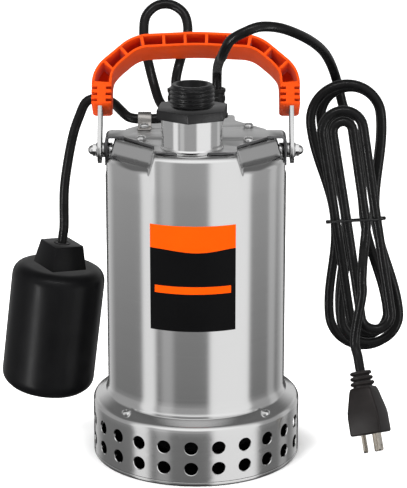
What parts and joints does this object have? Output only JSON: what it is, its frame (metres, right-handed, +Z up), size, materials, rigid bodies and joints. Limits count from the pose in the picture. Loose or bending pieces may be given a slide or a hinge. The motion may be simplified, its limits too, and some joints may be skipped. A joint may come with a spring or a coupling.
{
  "type": "submersible sump pump",
  "caption": "Upright submersible pump: steel drum on a perforated strainer base, threaded outlet on top, hinged carrying handle, tethered float switch and a mains lead tied in a hank.",
  "frame": {"origin": "centre of the base plate's flat underside, on the pump's axis", "axes": "+Z up along the motor shaft, -Y to the front where the outlet is, +X to the right"},
  "size_m": [0.3159, 0.1654, 0.3393],
  "materials": {
    "drum_steel": "satin",
    "grey_sheet": "matt",
    "bright_steel": "bright",
    "black_plastic": "satin",
    "black_rubber": "satin",
    "orange_plastic": "satin",
    "white_plastic": "matt",
    "nickel": "plated",
    "cast_grey": "cast",
    "lamination": "matt",
    "copper": "enamelled wire"
  },
  "bodies": {
    "pump": {"base_plate": "drum_steel", "strainer": "drum_steel", "base_screw_1": "bright_steel", "base_screw_2": "bright_steel", "base_screw_3": "bright_steel", "base_screw_4": "bright_steel", "drum": "drum_steel", "handle_bracket": "grey_sheet", "bracket_screw_front_left": "bright_steel", "bracket_screw_front_right": "bright_steel", "bracket_screw_rear_right": "bright_steel", "cord_clip": "bright_steel", "clip_screw": "bright_steel", "outlet_neck": "bright_steel", "outlet_fitting": "black_plastic", "float_cord_gland": "black_rubber", "power_cord_gland": "black_rubber", "pivot_bolt_left": "bright_steel", "pivot_bolt_right": "bright_steel", "pivot_spacer_left": "bright_steel", "pivot_spacer_right": "bright_steel", "domed_nut_left": "bright_steel", "domed_nut_right": "bright_steel", "float_cord_lead": "black_rubber", "power_cord_arch": "black_rubber", "power_cord_hank": "black_rubber", "power_cord_tail": "black_rubber", "hank_tie": "black_plastic", "plug_body": "black_rubber", "plug_blade_left": "nickel", "plug_blade_right": "nickel", "plug_ground_pin": "nickel", "volute": "cast_grey", "lower_bearing": "bright_steel", "upper_bearing": "bright_steel", "bearing_bracket": "cast_grey", "shaft_seal": "black_rubber", "seal_plate": "cast_grey", "motor_can": "drum_steel", "stator_core": "lamination", "winding_upper": "copper", "winding_lower": "copper", "capacitor": "white_plastic"},
    "handle": {"handle_grip": "orange_plastic", "handle_link_left": "bright_steel", "handle_link_right": "bright_steel"},
    "float": {"float_shell": "black_plastic", "float_cap": "black_plastic", "switch_capsule": "white_plastic", "float_cord_drop": "black_rubber"},
    "float_ball": {"switch_ball": "bright_steel"},
    "rotor": {"motor_shaft": "bright_steel", "rotor_core": "lamination", "impeller": "black_plastic", "impeller_nut": "bright_steel"}
  },
  "joints": [
    {"name": "handle_swing", "type": "hinge", "parent": "pump", "child": "handle", "pos_m": [0, 0, 0.2374], "axis": [1, 0, 0], "range_deg": [0, 33]},
    {"name": "float_swing", "type": "hinge", "parent": "pump", "child": "float", "pos_m": [-0.081, 0.05, 0.2647], "axis": [0, 1, 0], "range_deg": [0, 90]},
    {"name": "ball_roll", "type": "slide", "parent": "float", "child": "float_ball", "axis": [0.1219, 0, 0.9925], "range_m": [0, 0.022]},
    {"name": "rotor_spin", "type": "hinge", "parent": "pump", "child": "rotor", "pos_m": [0, 0, 0.1], "axis": [0, 0, 1], "continuous": true}
  ]
}
